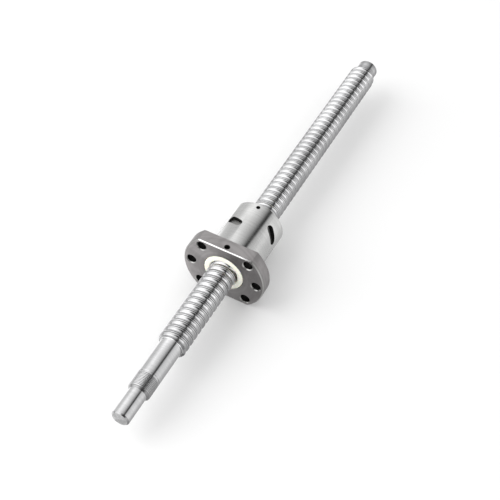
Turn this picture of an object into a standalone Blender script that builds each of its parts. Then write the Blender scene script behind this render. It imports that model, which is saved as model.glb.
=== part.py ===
"""Ball screw: a rolled screw with a 5 mm lead and its flanged nut, every piece a separate object.

Metres. +X runs along the screw from the drive end to the far end, +Z through the flange's upper flat.
The origin is the centre of the drive end's face. Angles turn about +X, counted from +Z.
"""

import bmesh
import bpy
from math import ceil, cos, floor, pi, radians, sin, tan
from mathutils import Matrix, Vector

# Balls and thread
LEAD = 0.005
SCREW_DIAMETER = 0.0195
BALL_DIAMETER = 0.003175
BALL_CIRCLE_DIAMETER = 0.0206
BALL_PLAY = 0.00012
GROOVE_FLANK_ANGLE = radians(60)
GROOVE_AT_TOP = 0.00088
THREAD_STEPS = 14

# Screw, from the drive end to the far end
DRIVE_DIAMETER = 0.012
DRIVE_LENGTH = 0.020
DRIVE_CHAMFER = 0.0009
LOCKNUT_THREAD_DIAMETER = 0.015
LOCKNUT_THREAD_LENGTH = 0.013
LOCKNUT_CHAMFER = 0.0015
RELIEF_WIDTH = 0.0012
RELIEF_DEPTH = 0.0004
BEARING_DIAMETER = 0.015
BEARING_LENGTH = 0.027
SCREW_THREAD_LENGTH = 0.2915
THREAD_END_DROP = 0.00225
THREAD_END_TAPER = 0.0035
TAIL_DIAMETER = 0.015
TAIL_LENGTH = 0.0085
TAIL_CHAMFER = 0.0010
JOURNAL_STEPS = 28
HOLE_STEPS = 12
JOINT_OVERLAP = 0.004

# Nut
NUT_PLACE = 0.1268
NUT_LENGTH = 0.051
NUT_DIAMETER = 0.036
NUT_REAR_CHAMFER = 0.0010
FLANGE_DIAMETER = 0.058
FLANGE_THICKNESS = 0.010
FLANGE_WIDTH = 0.044
FLANGE_FRONT_CHAMFER = 0.0006
FLANGE_REAR_CHAMFER = 0.0010
BORE_CLEARANCE = 0.0004
NUT_STEPS = 28
BOLT_CIRCLE_DIAMETER = 0.047
BOLT_HOLE_DIAMETER = 0.0066
BOLT_HOLE_CHAMFER = 0.0005
BOLT_HOLE_SPACING = radians(45)
LUBE_HOLE_DIAMETER = 0.0034
LUBE_HOLE_CHAMFER = 0.0003
LUBE_HOLE_FROM_FRONT = 0.0034

# Wipers
WIPER_POCKET_SHARE = 0.525
WIPER_BORE_CLEARANCE = 0.0006
WIPER_LIP_CHAMFER = 0.0006
FRONT_WIPER_THICKNESS = 0.0030
REAR_WIPER_THICKNESS = 0.0050
WIPER_SLIT_WIDTH = 0.0006
WIPER_SLIT_DEPTH = 0.0022
WIPER_SLIT_ANGLE = radians(197)
WIPER_STEPS = 28
SET_SCREW_DIAMETER = 0.0024
SET_SCREW_LENGTH = 0.0022
SET_SCREW_FROM_REAR = 0.0040
SET_SCREW_HOLE_CHAMFER = 0.0001
SET_SCREW_SOCKET = 0.0010
SET_SCREW_SOCKET_DEPTH = 0.0010

# Ball returns
CIRCUITS = 4
CIRCUIT_TURN = radians(90)
CIRCUIT_SPACING_TURNS = 1.25
LAST_RETURN_ANGLE = radians(60)
LAST_RETURN_FROM_REAR = 0.0136
RETURN_LENGTH = 0.0132
RETURN_WIDTH = 0.0054
RETURN_TILT = radians(23.5)
RETURN_RECESS_SHARE = 0.36
RETURN_REACH = 0.0024
RETURN_HALF_ANGLE = radians(27)
RETURN_LIFT = 0.0015
LIFT_EASE = 1.5
RETURN_ARC_STEPS = 6
CHANNEL_SIDES = 8
CHANNEL_STEPS = 14
PATH_STEPS = 720

# Fits
SEAT_GAP = 0.0003
CUT_OVER = 0.002
BALL_CONTACT = 0.00006
BALL_SPACING = 0.00008
BALL_STEPS = 6
BALL_RINGS = 4

SCREW_RADIUS = SCREW_DIAMETER / 2
BALL_RADIUS = BALL_DIAMETER / 2
BALL_CIRCLE_RADIUS = BALL_CIRCLE_DIAMETER / 2
SHOULDER = DRIVE_LENGTH + LOCKNUT_THREAD_LENGTH + BEARING_LENGTH
THREAD_END = SHOULDER + SCREW_THREAD_LENGTH
SCREW_LENGTH = THREAD_END + TAIL_LENGTH
BORE_RADIUS = SCREW_RADIUS + BORE_CLEARANCE
NUT_RADIUS = NUT_DIAMETER / 2
POCKET_RADIUS = BORE_RADIUS + WIPER_POCKET_SHARE * (NUT_RADIUS - BORE_RADIUS)
RETURN_RECESS = RETURN_RECESS_SHARE * (NUT_RADIUS - BALL_CIRCLE_RADIUS - RETURN_LIFT - BALL_RADIUS)
FRONT_POCKET_DEPTH = FRONT_WIPER_THICKNESS + SEAT_GAP
REAR_POCKET_DEPTH = REAR_WIPER_THICKNESS + SEAT_GAP


def collection(name):
    """A new collection in the scene."""
    made = bpy.data.collections.new(name)
    bpy.context.scene.collection.children.link(made)
    return made


for leftover in list(bpy.data.objects):
    bpy.data.objects.remove(leftover, do_unlink=True)
PARTS = collection("ball_screw")
CUTTERS = collection("cutters")


def material(name, color, roughness, metallic):
    """A Principled material with one colour."""
    made = bpy.data.materials.new(name)
    made.use_nodes = True
    shader = made.node_tree.nodes["Principled BSDF"]
    shader.inputs["Base Color"].default_value = (*color, 1)
    shader.inputs["Roughness"].default_value = roughness
    shader.inputs["Metallic"].default_value = metallic
    return made


SCREW_STEEL = material("screw_steel", (0.66, 0.66, 0.67), 0.25, 1.0)
NUT_STEEL = material("nut_steel", (0.58, 0.58, 0.57), 0.35, 1.0)
WIPER_PLASTIC = material("wiper_plastic", (0.88, 0.87, 0.76), 0.5, 0.0)
RETURN_STEEL = material("return_steel", (0.45, 0.45, 0.45), 0.5, 1.0)
BALL_STEEL = material("ball_steel", (0.72, 0.72, 0.73), 0.12, 1.0)
DARK_STEEL = material("dark_steel", (0.10, 0.10, 0.10), 0.45, 1.0)


def add(name, mesh, into=PARTS, surface=None):
    """A new object that holds the mesh."""
    made = bpy.data.objects.new(name, mesh)
    into.objects.link(made)
    if surface is not None:
        mesh.materials.append(surface)
    if into is CUTTERS:
        made.hide_render = True
        made.display_type = "WIRE"
    return made


def outline_mesh(name, points, closed):
    """A profile of (x, radius) points in the plane of +X and +Z, as edges."""
    made = bmesh.new()
    corners = [made.verts.new((x, 0, radius)) for x, radius in points]
    for first, second in zip(corners, corners[1:]):
        made.edges.new((first, second))
    if closed:
        made.edges.new((corners[-1], corners[0]))
    mesh = bpy.data.meshes.new(name)
    made.to_mesh(mesh)
    made.free()
    return mesh


def turned(name, points, steps, into=PARTS, surface=None, closed=False, turns=0):
    """A profile turned about +X. With turns, it climbs a lead in each, as a screw thread does."""
    made = add(name, outline_mesh(name, points, closed), into, surface)
    sweep = made.modifiers.new("turning", "SCREW")
    sweep.axis = "X"
    sweep.angle = 2 * pi
    sweep.steps = steps
    sweep.render_steps = steps
    sweep.use_smooth_shade = False
    if turns:
        sweep.screw_offset = LEAD
        sweep.iterations = turns
    else:
        sweep.use_merge_vertices = True
        sweep.merge_threshold = 0.00001
    return made


def final_mesh(piece):
    """The shape of a curve or of a piece with modifiers, doubled points merged and faces turned outwards."""
    graph = bpy.context.evaluated_depsgraph_get()
    mesh = bpy.data.meshes.new_from_object(piece.evaluated_get(graph))
    shape = bmesh.new()
    shape.from_mesh(mesh)
    bmesh.ops.remove_doubles(shape, verts=shape.verts, dist=0.000002)
    bmesh.ops.recalc_face_normals(shape, faces=shape.faces)
    shape.to_mesh(mesh)
    shape.free()
    return mesh


def settled(piece):
    """Makes the piece's modifiers part of its mesh."""
    mesh = final_mesh(piece)
    piece.modifiers.clear()
    old = piece.data
    piece.data = mesh
    bpy.data.meshes.remove(old)
    return piece


def from_curve(curve, name, into, surface=None):
    """A new object with the solid that the curve makes."""
    helper = bpy.data.objects.new(name + "_path", curve)
    CUTTERS.objects.link(helper)
    mesh = final_mesh(helper)
    bpy.data.objects.remove(helper)
    return add(name, mesh, into, surface)


def cut(piece, cutter, operation="DIFFERENCE"):
    """Takes the cutter out of the piece, or joins it on."""
    boolean = piece.modifiers.new(operation.lower() + "_" + cutter.name, "BOOLEAN")
    boolean.operation = operation
    boolean.object = cutter
    boolean.solver = "EXACT"


def smooth(piece, angle=radians(30)):
    """Shades the round faces smooth and keeps edges past the angle sharp."""
    piece.data.shade_smooth()
    piece.data.set_sharp_from_angle(angle=angle)


def groove_x(angle):
    """Where the thread's groove is, along the screw, at an angle, within one lead of the drive end."""
    return GROOVE_AT_TOP + LEAD * angle / (2 * pi)


def groove_profile(start, outward):
    """Cutter for the groove, as a trapezium round the ball's own circle.

    It opens outwards on the screw and inwards in the nut.
    """
    reach = BALL_RADIUS + BALL_PLAY
    side = 1 if outward else -1
    root = BALL_CIRCLE_RADIUS - side * reach
    root_half = reach * tan(GROOVE_FLANK_ANGLE / 2)
    mouth_half = root_half + 2 * BALL_RADIUS / tan(GROOVE_FLANK_ANGLE)
    mouth = root + side * 2 * BALL_RADIUS
    if not outward:
        # Straight faces between the steps would stand in the balls' way
        root /= cos(pi / THREAD_STEPS)
        mouth = min(mouth, SCREW_RADIUS - BORE_CLEARANCE)
    return [
        (start - mouth_half, mouth),
        (start - root_half, root),
        (start + root_half, root),
        (start + mouth_half, mouth),
    ]


def capped(piece):
    """Closes the two open ends of a swept cutter."""
    settled(piece)
    shape = bmesh.new()
    shape.from_mesh(piece.data)
    rims = [edge for edge in shape.edges if edge.is_boundary]
    bmesh.ops.holes_fill(shape, edges=rims, sides=len(groove_profile(0, True)))
    bmesh.ops.recalc_face_normals(shape, faces=shape.faces)
    shape.to_mesh(piece.data)
    shape.free()
    return piece


def thread_profile(start):
    """One lead of the screw's surface: the groove, then the land up to the next groove."""
    groove = groove_profile(start, outward=True)
    (_, root), half = groove[1], start - groove[1][0]
    mouth_half = half + (SCREW_RADIUS - root) / tan(GROOVE_FLANK_ANGLE)
    return [
        (start - mouth_half, SCREW_RADIUS),
        groove[1],
        groove[2],
        (start + mouth_half, SCREW_RADIUS),
        (start - mouth_half + LEAD, SCREW_RADIUS),
    ]


def closed_by_fans(piece):
    """Closes each open rim with a fan of faces to the middle of the axis beside it."""
    shape = bmesh.new()
    shape.from_mesh(piece.data)
    rims = [edge for edge in shape.edges if edge.is_boundary]
    middle = sum(corner.co.x for corner in shape.verts) / len(shape.verts)
    for side in (-1, 1):
        rim = [edge for edge in rims if (edge.verts[0].co.x - middle) * side > 0]
        made = bmesh.ops.extrude_edge_only(shape, edges=rim)["geom"]
        corners = [item for item in made if isinstance(item, bmesh.types.BMVert)]
        hub = Vector((sum(corner.co.x for corner in corners) / len(corners), 0, 0))
        bmesh.ops.pointmerge(shape, verts=corners, merge_co=hub)
    bmesh.ops.recalc_face_normals(shape, faces=shape.faces)
    shape.to_mesh(piece.data)
    shape.free()
    return piece


def screw_shaft():
    """Rolled thread with turned journals. The groove runs out through the shoulder and the far chamfer."""
    lead_in = floor((SHOULDER - GROOVE_AT_TOP) / LEAD) - 1
    turns = floor(SCREW_THREAD_LENGTH / LEAD) + 4
    shaft = turned(
        "screw_shaft",
        thread_profile(GROOVE_AT_TOP + lead_in * LEAD),
        THREAD_STEPS,
        surface=SCREW_STEEL,
        turns=turns,
    )
    closed_by_fans(settled(shaft))
    ends = turned(
        "thread_ends",
        [
            (THREAD_END, 0),
            (THREAD_END, SCREW_RADIUS - THREAD_END_DROP),
            (THREAD_END - THREAD_END_TAPER, SCREW_RADIUS),
            (THREAD_END - THREAD_END_TAPER, SCREW_RADIUS + CUT_OVER),
            (SHOULDER, SCREW_RADIUS + CUT_OVER),
            (SHOULDER, 0),
        ],
        THREAD_STEPS,
        into=CUTTERS,
    )
    cut(shaft, settled(ends), "INTERSECT")
    settled(shaft)

    locknut_start = DRIVE_LENGTH
    bearing_start = DRIVE_LENGTH + LOCKNUT_THREAD_LENGTH
    drive = DRIVE_DIAMETER / 2
    locknut = LOCKNUT_THREAD_DIAMETER / 2
    bearing = BEARING_DIAMETER / 2
    front = turned(
        "drive_end_blank",
        [
            (SHOULDER + JOINT_OVERLAP, 0),
            (SHOULDER + JOINT_OVERLAP, bearing),
            (bearing_start, bearing),
            (bearing_start, bearing - RELIEF_DEPTH),
            (bearing_start - RELIEF_WIDTH, bearing - RELIEF_DEPTH),
            (bearing_start - RELIEF_WIDTH, locknut),
            (locknut_start + LOCKNUT_CHAMFER, locknut),
            (locknut_start, locknut - LOCKNUT_CHAMFER),
            (locknut_start, drive),
            (DRIVE_CHAMFER, drive),
            (0, drive - DRIVE_CHAMFER),
            (0, 0),
        ],
        JOURNAL_STEPS,
        into=CUTTERS,
    )
    tail = turned(
        "far_end_blank",
        [
            (SCREW_LENGTH, 0),
            (SCREW_LENGTH, TAIL_DIAMETER / 2 - TAIL_CHAMFER),
            (SCREW_LENGTH - TAIL_CHAMFER, TAIL_DIAMETER / 2),
            (THREAD_END - JOINT_OVERLAP, TAIL_DIAMETER / 2),
            (THREAD_END - JOINT_OVERLAP, 0),
        ],
        JOURNAL_STEPS,
        into=CUTTERS,
    )
    cut(shaft, settled(front), "UNION")
    cut(shaft, settled(tail), "UNION")
    settled(shaft)
    smooth(shaft)
    return shaft


def box_cutter(name, size, place):
    """A box to cut with, centred on its place."""
    shape = bmesh.new()
    bmesh.ops.create_cube(shape, size=1, matrix=Matrix.Diagonal((*size, 1)))
    mesh = bpy.data.meshes.new(name)
    shape.to_mesh(mesh)
    shape.free()
    made = add(name, mesh, CUTTERS)
    made.matrix_world = place
    return made


def radial_place(x, angle, radius):
    """A matrix whose +Z points out from the axis at the angle, and whose +X stays along the screw."""
    turn = Matrix.Rotation(angle, 4, "X")
    return Matrix.Translation((x, 0, 0)) @ turn @ Matrix.Translation((0, 0, radius))


def drilled(name, diameter, chamfer, depth, place):
    """Cutter for a hole from a flat at the place's +Z side, with a chamfered mouth."""
    radius = diameter / 2
    mouth = radius + chamfer
    made = turned(
        name,
        [
            (CUT_OVER, 0),
            (CUT_OVER, mouth + CUT_OVER),
            (0, mouth),
            (-chamfer, radius),
            (-depth, radius),
            (-depth, 0),
        ],
        HOLE_STEPS,
        into=CUTTERS,
    )
    settled(made)
    made.matrix_world = place @ Matrix.Rotation(-pi / 2, 4, "Y")
    return made


def bolt_angles():
    """Two groups of three holes, one on each round side of the flange."""
    return [
        side + step * BOLT_HOLE_SPACING
        for side in (pi / 2, -pi / 2)
        for step in (-1, 0, 1)
    ]


def return_stations():
    """(x, angle) of each ball return. It lies on the land between two turns of the groove."""
    stations = []
    for index in range(CIRCUITS):
        back = CIRCUITS - 1 - index
        angle = LAST_RETURN_ANGLE - back * CIRCUIT_TURN
        land = groove_x(angle) + LEAD / 2
        wanted = NUT_PLACE + NUT_LENGTH - LAST_RETURN_FROM_REAR - back * CIRCUIT_SPACING_TURNS * LEAD
        stations.append((land + LEAD * round((wanted - land) / LEAD), angle))
    return stations


def return_outline(name, length, width, low, high, station, into, surface=None):
    """A plug with round ends, upright on the screw's axis and slanted against the thread."""
    x, angle = station
    curve = bpy.data.curves.new(name, "CURVE")
    curve.dimensions = "2D"
    curve.fill_mode = "BOTH"
    curve.extrude = (high - low) / 2
    spline = curve.splines.new("POLY")
    end_radius = width / 2
    straight = length / 2 - end_radius
    points = []
    for end, centre in ((0, straight), (pi, -straight)):
        for step in range(RETURN_ARC_STEPS + 1):
            round_end = end + pi * step / RETURN_ARC_STEPS
            points.append((end_radius * cos(round_end), centre + end_radius * sin(round_end)))
    spline.points.add(len(points) - 1)
    for corner, (across, along) in zip(spline.points, points):
        corner.co = (across, along, 0, 1)
    spline.use_cyclic_u = True
    made = from_curve(curve, name, into, surface)
    # The long side runs round the nut and, as the angle grows, back towards the drive end
    made.matrix_world = radial_place(x, angle, (low + high) / 2) @ Matrix.Rotation(-RETURN_TILT, 4, "Z")
    return made


def nut_body():
    """Flange and barrel in one piece, with the helical groove, the slanted windows and the drilled holes."""
    front = NUT_PLACE
    rear = NUT_PLACE + NUT_LENGTH
    behind_flange = NUT_PLACE + FLANGE_THICKNESS
    flange = FLANGE_DIAMETER / 2
    nut = turned(
        "nut_body",
        [
            (rear - REAR_POCKET_DEPTH, BORE_RADIUS),
            (rear - REAR_POCKET_DEPTH, POCKET_RADIUS),
            (rear, POCKET_RADIUS),
            (rear, NUT_RADIUS - NUT_REAR_CHAMFER),
            (rear - NUT_REAR_CHAMFER, NUT_RADIUS),
            (behind_flange, NUT_RADIUS),
            (behind_flange, flange - FLANGE_REAR_CHAMFER),
            (behind_flange - FLANGE_REAR_CHAMFER, flange),
            (front + FLANGE_FRONT_CHAMFER, flange),
            (front, flange - FLANGE_FRONT_CHAMFER),
            (front, POCKET_RADIUS),
            (front + FRONT_POCKET_DEPTH, POCKET_RADIUS),
            (front + FRONT_POCKET_DEPTH, BORE_RADIUS),
        ],
        NUT_STEPS,
        surface=NUT_STEEL,
        closed=True,
    )
    settled(nut)

    for side in (1, -1):
        waste = (FLANGE_DIAMETER - FLANGE_WIDTH) / 2 + CUT_OVER
        middle = side * (FLANGE_WIDTH + waste) / 2
        flat = box_cutter(
            "flange_flat",
            (FLANGE_THICKNESS + 2 * CUT_OVER, FLANGE_DIAMETER, waste),
            Matrix.Translation((front + FLANGE_THICKNESS / 2, 0, middle)),
        )
        cut(nut, flat)

    for angle in bolt_angles():
        place = Matrix.Translation((front, 0, 0)) @ Matrix.Rotation(angle, 4, "X")
        place = place @ Matrix.Translation((0, 0, BOLT_CIRCLE_DIAMETER / 2))
        place = place @ Matrix.Rotation(-pi / 2, 4, "Y")
        hole = drilled("bolt_hole", BOLT_HOLE_DIAMETER, BOLT_HOLE_CHAMFER, FLANGE_THICKNESS + CUT_OVER, place)
        cut(nut, hole)

    cut(
        nut,
        drilled(
            "lube_hole",
            LUBE_HOLE_DIAMETER,
            LUBE_HOLE_CHAMFER,
            FLANGE_WIDTH / 2 - SCREW_RADIUS,
            radial_place(front + LUBE_HOLE_FROM_FRONT, 0, FLANGE_WIDTH / 2),
        ),
    )
    cut(
        nut,
        drilled(
            "set_screw_hole",
            SET_SCREW_DIAMETER,
            SET_SCREW_HOLE_CHAMFER,
            NUT_RADIUS - POCKET_RADIUS + SEAT_GAP,
            radial_place(rear - SET_SCREW_FROM_REAR, 0, NUT_RADIUS),
        ),
    )

    # The groove runs out into the wiper pockets
    first_turn = floor((front + FRONT_POCKET_DEPTH - GROOVE_AT_TOP) / LEAD) - 1
    last_turn = ceil((rear - REAR_POCKET_DEPTH - GROOVE_AT_TOP) / LEAD) + 1
    groove = turned(
        "nut_groove",
        groove_profile(GROOVE_AT_TOP + first_turn * LEAD, outward=False),
        THREAD_STEPS,
        into=CUTTERS,
        closed=True,
        turns=last_turn - first_turn,
    )
    cut(nut, capped(groove))

    for number, station in enumerate(return_stations(), 1):
        window = return_outline(
            f"return_window_{number}",
            RETURN_LENGTH,
            RETURN_WIDTH,
            BORE_RADIUS - RETURN_REACH,
            NUT_RADIUS + CUT_OVER,
            station,
            CUTTERS,
        )
        cut(nut, window)
    settled(nut)
    smooth(nut)
    return nut


def ring(name, start, thickness):
    """A wiper: a plastic ring with a bevelled lip at its outer face's bore."""
    bore = SCREW_RADIUS + WIPER_BORE_CLEARANCE
    rim = POCKET_RADIUS - SEAT_GAP
    outer_face_first = start < NUT_PLACE + NUT_LENGTH / 2
    lip_front = WIPER_LIP_CHAMFER if outer_face_first else 0
    lip_rear = 0 if outer_face_first else WIPER_LIP_CHAMFER
    profile = [
        (start + thickness - lip_rear, bore),
        (start + thickness, bore + lip_rear),
        (start + thickness, rim),
        (start, rim),
        (start, bore + lip_front),
        (start + lip_front, bore),
    ]
    profile = [point for index, point in enumerate(profile) if point not in profile[:index]]
    made = turned(name, profile, WIPER_STEPS, surface=WIPER_PLASTIC, closed=True)
    return settled(made)


def front_wiper():
    """The slit in its bore lets the lip spring onto the screw."""
    made = ring("front_wiper", NUT_PLACE, FRONT_WIPER_THICKNESS)
    bore = SCREW_RADIUS + WIPER_BORE_CLEARANCE
    depth = WIPER_SLIT_DEPTH + WIPER_LIP_CHAMFER
    slit = box_cutter(
        "wiper_slit",
        (FRONT_WIPER_THICKNESS + CUT_OVER, WIPER_SLIT_WIDTH, 2 * depth),
        radial_place(NUT_PLACE + FRONT_WIPER_THICKNESS / 2, WIPER_SLIT_ANGLE, bore),
    )
    cut(made, slit)
    settled(made)
    smooth(made)
    return made


def rear_wiper():
    """The same ring, thicker, behind the last turn of balls."""
    made = ring("rear_wiper", NUT_PLACE + NUT_LENGTH - REAR_WIPER_THICKNESS, REAR_WIPER_THICKNESS)
    smooth(made)
    return made


def rear_set_screw():
    """A headless socket screw that locks the rear wiper from the barrel's top."""
    radius = SET_SCREW_DIAMETER / 2 - SEAT_GAP / 3
    point = POCKET_RADIUS + SEAT_GAP / 3
    top = point + SET_SCREW_LENGTH
    made = turned(
        "rear_wiper_screw",
        [
            (top - SET_SCREW_SOCKET_DEPTH, 0),
            (top - SET_SCREW_SOCKET_DEPTH, SET_SCREW_SOCKET / 2),
            (top, SET_SCREW_SOCKET / 2),
            (top, radius),
            (point, radius),
            (point, 0),
        ],
        HOLE_STEPS,
        surface=DARK_STEEL,
    )
    settled(made)
    made.matrix_world = (
        Matrix.Translation((NUT_PLACE + NUT_LENGTH - SET_SCREW_FROM_REAR, 0, 0))
        @ Matrix.Rotation(-pi / 2, 4, "Y")
    )
    smooth(made)
    return made


def circuit_point(turn, station):
    """The centre of a ball at a turn of its loop, from 0 at the return's middle to 2 pi round again."""
    x, angle = station
    turn = (turn + pi) % (2 * pi) - pi
    radius = BALL_CIRCLE_RADIUS
    if abs(turn) < RETURN_HALF_ANGLE:
        share = (turn + RETURN_HALF_ANGLE) / (2 * RETURN_HALF_ANGLE)
        before = LEAD / 2 - LEAD * RETURN_HALF_ANGLE / (2 * pi)
        eased = share * share * (3 - 2 * share)
        along = before * (1 - 2 * eased)
        radius += RETURN_LIFT * sin(pi * share) ** LIFT_EASE
    else:
        side = 1 if turn < 0 else -1
        along = side * LEAD / 2 + LEAD * turn / (2 * pi)
    heading = angle + turn
    return Vector((x + along, -radius * sin(heading), radius * cos(heading)))


def return_insert(number, station):
    """The plug in a window. The channel in its foot lifts the balls over the land to the turn before."""
    plug = return_outline(
        f"return_insert_{number}",
        RETURN_LENGTH - 2 * SEAT_GAP,
        RETURN_WIDTH - 2 * SEAT_GAP,
        BORE_RADIUS - RETURN_REACH,
        NUT_RADIUS - RETURN_RECESS,
        station,
        PARTS,
        RETURN_STEEL,
    )
    x, angle = station
    bore = turned(
        f"return_bore_{number}",
        [
            (x + RETURN_LENGTH, 0),
            (x + RETURN_LENGTH, BORE_RADIUS),
            (x - RETURN_LENGTH, BORE_RADIUS),
            (x - RETURN_LENGTH, 0),
        ],
        NUT_STEPS,
        into=CUTTERS,
    )
    cut(plug, settled(bore))

    curve = bpy.data.curves.new(f"return_channel_{number}", "CURVE")
    curve.dimensions = "3D"
    curve.bevel_depth = BALL_RADIUS + BALL_PLAY + SEAT_GAP / 3
    curve.bevel_resolution = CHANNEL_SIDES // 4
    curve.use_fill_caps = True
    spline = curve.splines.new("POLY")
    spline.points.add(CHANNEL_STEPS)
    for step, corner in enumerate(spline.points):
        turn = 2 * RETURN_HALF_ANGLE * (2 * step / CHANNEL_STEPS - 1)
        corner.co = (*circuit_point(turn, station), 1)
    cut(plug, from_curve(curve, curve.name, CUTTERS))
    return plug


def pair_profile():
    """The outline of two balls that touch, to turn about the line through their centres."""
    centre = -(BALL_RADIUS - BALL_CONTACT / 2)
    points = [(centre - BALL_RADIUS, 0)]
    for row in range(1, BALL_RINGS):
        tilt = pi * row / BALL_RINGS
        points.append((centre - BALL_RADIUS * cos(tilt), BALL_RADIUS * sin(tilt)))
    # The last side of the ball's outline is cut off where the other ball begins
    last_x, last_radius = points[-1]
    points.append((0, last_radius * (centre + BALL_RADIUS) / (centre + BALL_RADIUS - last_x)))
    points += [(-x, radius) for x, radius in reversed(points[:-1])]
    return points


def balls():
    """Each loop is full of balls. Neighbours are joined in pairs, nose to nose."""
    profile = list(reversed(pair_profile()))
    shared = None
    for number, station in enumerate(return_stations(), 1):
        path = [circuit_point(2 * pi * step / PATH_STEPS, station) for step in range(PATH_STEPS + 1)]
        lengths = [0.0]
        for first, second in zip(path, path[1:]):
            lengths.append(lengths[-1] + (second - first).length)
        count = floor(lengths[-1] / (2 * BALL_DIAMETER - BALL_CONTACT + BALL_SPACING))
        pitch = lengths[-1] / count

        def at(distance):
            distance %= lengths[-1]
            index = max(i for i, length in enumerate(lengths) if length <= distance)
            index = min(index, PATH_STEPS - 1)
            share = (distance - lengths[index]) / (lengths[index + 1] - lengths[index])
            return path[index].lerp(path[index + 1], share)

        half = BALL_RADIUS - BALL_CONTACT / 2
        for place in range(count):
            middle = place * pitch
            first, second = at(middle - half), at(middle + half)
            name = f"ball_pair_{number}_{place + 1:02d}"
            if shared is None:
                pair = settled(turned(name, profile, BALL_STEPS, surface=BALL_STEEL))
                smooth(pair, radians(80))
                shared = pair.data
            else:
                pair = bpy.data.objects.new(name, shared)
                PARTS.objects.link(pair)
            pair.rotation_mode = "QUATERNION"
            pair.rotation_quaternion = (second - first).to_track_quat("X", "Z")
            pair.location = (first + second) / 2


screw_shaft()
nut_body()
front_wiper()
rear_wiper()
rear_set_screw()
for count, station in enumerate(return_stations(), 1):
    return_insert(count, station)
balls()
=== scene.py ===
"""Ball screw, dressed for a picture: rolled screw, flanged nut, wipers, ball returns and balls.

Metres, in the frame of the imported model. +X runs along the screw from the drive end, +Z through the
flange's upper flat. Angles turn about +X, counted from +Z.
"""

from math import atan2, ceil, cos, floor, hypot, pi, radians, sin, sqrt, tan

import bmesh
import bpy
from mathutils import Matrix, Quaternion, Vector


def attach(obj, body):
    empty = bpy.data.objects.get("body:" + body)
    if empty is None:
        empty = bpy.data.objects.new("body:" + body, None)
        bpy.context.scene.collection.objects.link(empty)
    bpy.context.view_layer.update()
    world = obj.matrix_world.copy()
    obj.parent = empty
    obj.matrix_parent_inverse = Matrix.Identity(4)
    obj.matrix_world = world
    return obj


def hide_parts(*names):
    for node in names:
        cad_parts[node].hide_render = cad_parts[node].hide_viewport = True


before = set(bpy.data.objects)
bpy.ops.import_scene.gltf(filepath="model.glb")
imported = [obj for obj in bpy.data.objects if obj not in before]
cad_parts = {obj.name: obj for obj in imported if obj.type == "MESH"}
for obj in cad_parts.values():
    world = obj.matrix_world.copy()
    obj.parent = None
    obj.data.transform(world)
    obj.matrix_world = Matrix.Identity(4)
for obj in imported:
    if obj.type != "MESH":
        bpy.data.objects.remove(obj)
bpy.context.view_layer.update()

# ---------------------------------------------------------------------------------------------------
# Studio: a long lens above the drive end, a white table that the flange rests on, one big soft lamp
# behind the screw's left side, and pale walls with one dark panel, which the steel shows.
scene = bpy.context.scene
scene.view_settings.view_transform = "Standard"


def added(name, data):
    """A new object in the scene."""
    made = bpy.data.objects.new(name, data)
    scene.collection.objects.link(made)
    return made


camera = added("camera", bpy.data.cameras.new("camera"))
camera.data.lens = 84.4809
camera.data.sensor_width = 36
camera.data.clip_start = 0.01
camera_place = Vector((-0.30709196, -0.20789156, 0.58299641))
camera_aim = Vector((0.14437516, -0.00964872, 0.01051935))
camera_roll = Quaternion((0, 0, 1), radians(4.913))
camera.rotation_mode = "QUATERNION"
camera.location = camera_place
camera.rotation_quaternion = (camera_aim - camera_place).to_track_quat("-Z", "Y") @ camera_roll
scene.camera = camera


def put(tree, kind, inputs=None, **settings):
    """A new node. Inputs are given by name or number, as a value or as another node's output."""
    made = tree.nodes.new(kind)
    for name, value in settings.items():
        setattr(made, name, value)
    for key, value in (inputs or {}).items():
        if isinstance(value, bpy.types.NodeSocket):
            tree.links.new(value, made.inputs[key])
        else:
            made.inputs[key].default_value = value
    return made


def maths(tree, operation, *values):
    """The result of a Math node."""
    return put(tree, "ShaderNodeMath", dict(enumerate(values)), operation=operation).outputs[0]


def ramp(tree, factor, stops):
    """A Color Ramp's colour, from (position, grey or colour) stops."""
    made = put(tree, "ShaderNodeValToRGB", {0: factor})
    band = made.color_ramp
    while len(band.elements) < len(stops):
        band.elements.new(0.5)
    for element, (position, tone) in zip(band.elements, stops):
        element.position = position
        element.color = (*tone, 1) if isinstance(tone, tuple) else (tone, tone, tone, 1)
    return made.outputs[0]


def axes_of(tree, source="Object"):
    """X, Y and Z of a texture coordinate."""
    return put(tree, "ShaderNodeSeparateXYZ", {0: put(tree, "ShaderNodeTexCoord").outputs[source]}).outputs


def turn_from_top(tree, axes):
    """The angle round the screw's axis, from straight up."""
    return maths(tree, "ARCTAN2", maths(tree, "MULTIPLY", axes["Y"], -1.0), axes["Z"])


def length_of(tree, first, second):
    """The distance that two distances at a right angle make."""
    squares = maths(tree, "MULTIPLY_ADD", first, first, maths(tree, "MULTIPLY", second, second))
    return maths(tree, "SQRT", squares)


def between(tree, value, low, high, at_low=0.0, at_high=1.0, kind="LINEAR"):
    """A value mapped from one range to another and held at its ends."""
    inputs = {"Value": value, "From Min": low, "From Max": high, "To Min": at_low, "To Max": at_high}
    return put(tree, "ShaderNodeMapRange", inputs, interpolation_type=kind).outputs[0]


def levels(tree, value, reach, stops, stops_reach, brightest):
    """A ramp of light levels over values from -reach to reach, in shares of the brightest."""
    share = maths(tree, "MULTIPLY_ADD", value, 1 / (2 * reach), 0.5)
    return ramp(tree, share, [(at / (2 * stops_reach) + 0.5, level / brightest) for at, level in stops])


def times(tree, colour, factor):
    """A colour made brighter or darker by a factor."""
    return put(tree, "ShaderNodeVectorMath", {0: colour, "Scale": factor}, operation="SCALE").outputs[0]


def blend(tree, factor, first, second):
    """A colour between two others."""
    return put(tree, "ShaderNodeMix", {0: factor, 6: first, 7: second}, data_type="RGBA").outputs[2]


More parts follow.
